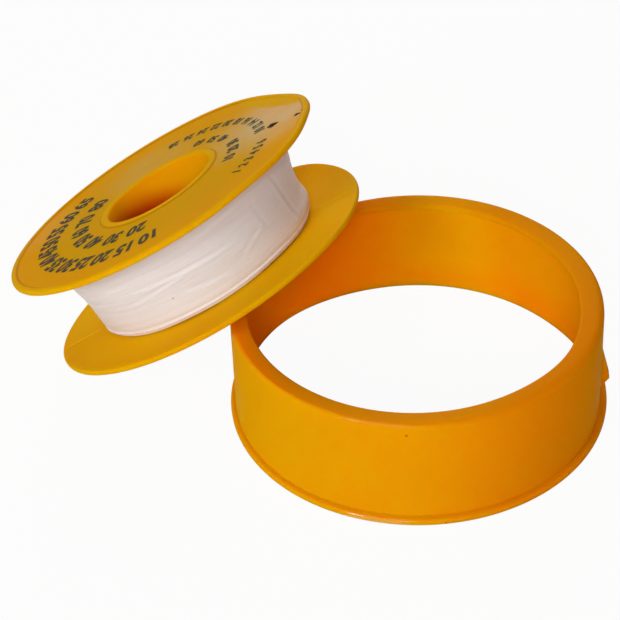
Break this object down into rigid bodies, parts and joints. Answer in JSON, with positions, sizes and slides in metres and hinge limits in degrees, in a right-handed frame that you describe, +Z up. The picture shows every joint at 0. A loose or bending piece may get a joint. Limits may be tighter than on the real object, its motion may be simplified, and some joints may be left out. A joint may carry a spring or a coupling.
{
  "type": "thread seal tape roll",
  "caption": "Flanged plastic spool of white thread seal tape leaning on its open cover ring; the spool lifts off and the loose outer turns of tape go round it",
  "frame": {"origin": "centre of the cover ring's foot, on the table", "axes": "+Z up along the ring's axis; the spool leans on the ring towards -X, and its axis lies in the XZ plane"},
  "size_m": [0.1317, 0.0806, 0.0568],
  "materials": {
    "ring_plastic": "smooth moulded, semi-gloss",
    "spool_plastic": "smooth moulded, semi-gloss",
    "tape_film": "soft waxy film"
  },
  "bodies": {
    "cover_ring": {"cover_ring": "ring_plastic"},
    "spool": {"spool": "spool_plastic", "tape_core": "tape_film"},
    "tape": {"tape_outer_turns": "tape_film"}
  },
  "joints": [
    {"name": "spool_lift", "type": "slide", "parent": "cover_ring", "child": "spool", "axis": [0, 0, 1], "range_m": [0, 0.06]},
    {"name": "tape_payoff", "type": "hinge", "parent": "spool", "child": "tape", "pos_m": [-0.05412, 0, 0.02842], "axis": [-0.515, 0, 0.8572], "continuous": true}
  ]
}
